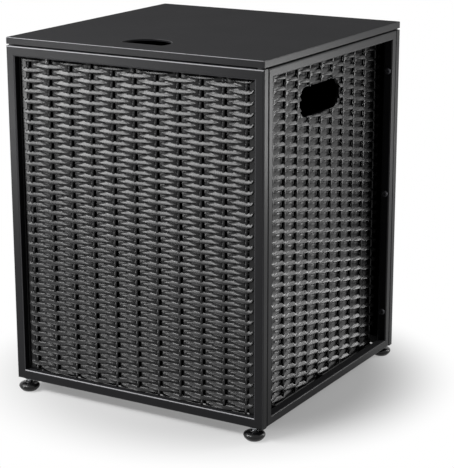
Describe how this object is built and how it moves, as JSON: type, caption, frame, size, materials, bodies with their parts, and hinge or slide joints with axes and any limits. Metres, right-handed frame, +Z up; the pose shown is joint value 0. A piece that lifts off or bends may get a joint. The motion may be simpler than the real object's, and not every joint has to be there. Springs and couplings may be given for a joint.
{
  "type": "gas tank cover table",
  "caption": "Square outdoor cover for a gas cylinder that doubles as a side table: tube frames, wicker panels with hand holes, lift-off lid with a finger hole, levelling feet.",
  "frame": {"origin": "on the floor, under the middle of the cover", "axes": "+Z up, the front with the lid's finger hole faces -Y, the hand holes face +X and -X"},
  "size_m": [0.4064, 0.424, 0.5129],
  "materials": {
    "powder_coated_steel": "charcoal powder coat, satin",
    "wicker_resin": "charcoal resin wicker, satin",
    "zinc_plated_steel": "bright zinc plate",
    "blackened_steel": "black zinc plate",
    "black_plastic": "black moulded nylon",
    "black_rubber": "black rubber"
  },
  "bodies": {
    "cover": {"front_frame_left_post": "powder_coated_steel", "front_frame_right_post": "powder_coated_steel", "front_frame_top_rail": "powder_coated_steel", "front_frame_bottom_rail": "powder_coated_steel", "front_wicker_panel": "wicker_resin", "rear_frame_left_post": "powder_coated_steel", "rear_frame_right_post": "powder_coated_steel", "rear_frame_top_rail": "powder_coated_steel", "rear_frame_bottom_rail": "powder_coated_steel", "rear_wicker_panel": "wicker_resin", "left_frame_front_post": "powder_coated_steel", "left_frame_rear_post": "powder_coated_steel", "left_frame_top_rail": "powder_coated_steel", "left_frame_bottom_rail": "powder_coated_steel", "left_wicker_panel": "wicker_resin", "right_frame_front_post": "powder_coated_steel", "right_frame_rear_post": "powder_coated_steel", "right_frame_top_rail": "powder_coated_steel", "right_frame_bottom_rail": "powder_coated_steel", "right_wicker_panel": "wicker_resin", "corner_bolts": "blackened_steel", "corner_inserts": "zinc_plated_steel", "panel_screws": "zinc_plated_steel", "foot_inserts": "zinc_plated_steel", "panel_spacers": "black_plastic", "panel_clips": "powder_coated_steel"},
    "lid": {"lid_tray": "powder_coated_steel", "lid_stiffeners": "powder_coated_steel", "lid_tabs": "powder_coated_steel", "lid_bumpers": "black_rubber"},
    "front_left_foot": {"front_left_foot_pad": "black_plastic", "front_left_foot_stem": "zinc_plated_steel"},
    "front_right_foot": {"front_right_foot_pad": "black_plastic", "front_right_foot_stem": "zinc_plated_steel"},
    "rear_left_foot": {"rear_left_foot_pad": "black_plastic", "rear_left_foot_stem": "zinc_plated_steel"},
    "rear_right_foot": {"rear_right_foot_pad": "black_plastic", "rear_right_foot_stem": "zinc_plated_steel"}
  },
  "joints": [
    {"name": "lid_lift", "type": "slide", "parent": "cover", "child": "lid", "axis": [0, 0, 1], "range_m": [0, 0.12]},
    {"name": "front_left_foot_level", "type": "slide", "parent": "cover", "child": "front_left_foot", "axis": [0, 0, -1], "range_m": [-0.003, 0.005]},
    {"name": "front_right_foot_level", "type": "slide", "parent": "cover", "child": "front_right_foot", "axis": [0, 0, -1], "range_m": [-0.003, 0.005]},
    {"name": "rear_left_foot_level", "type": "slide", "parent": "cover", "child": "rear_left_foot", "axis": [0, 0, -1], "range_m": [-0.003, 0.005]},
    {"name": "rear_right_foot_level", "type": "slide", "parent": "cover", "child": "rear_right_foot", "axis": [0, 0, -1], "range_m": [-0.003, 0.005]}
  ]
}
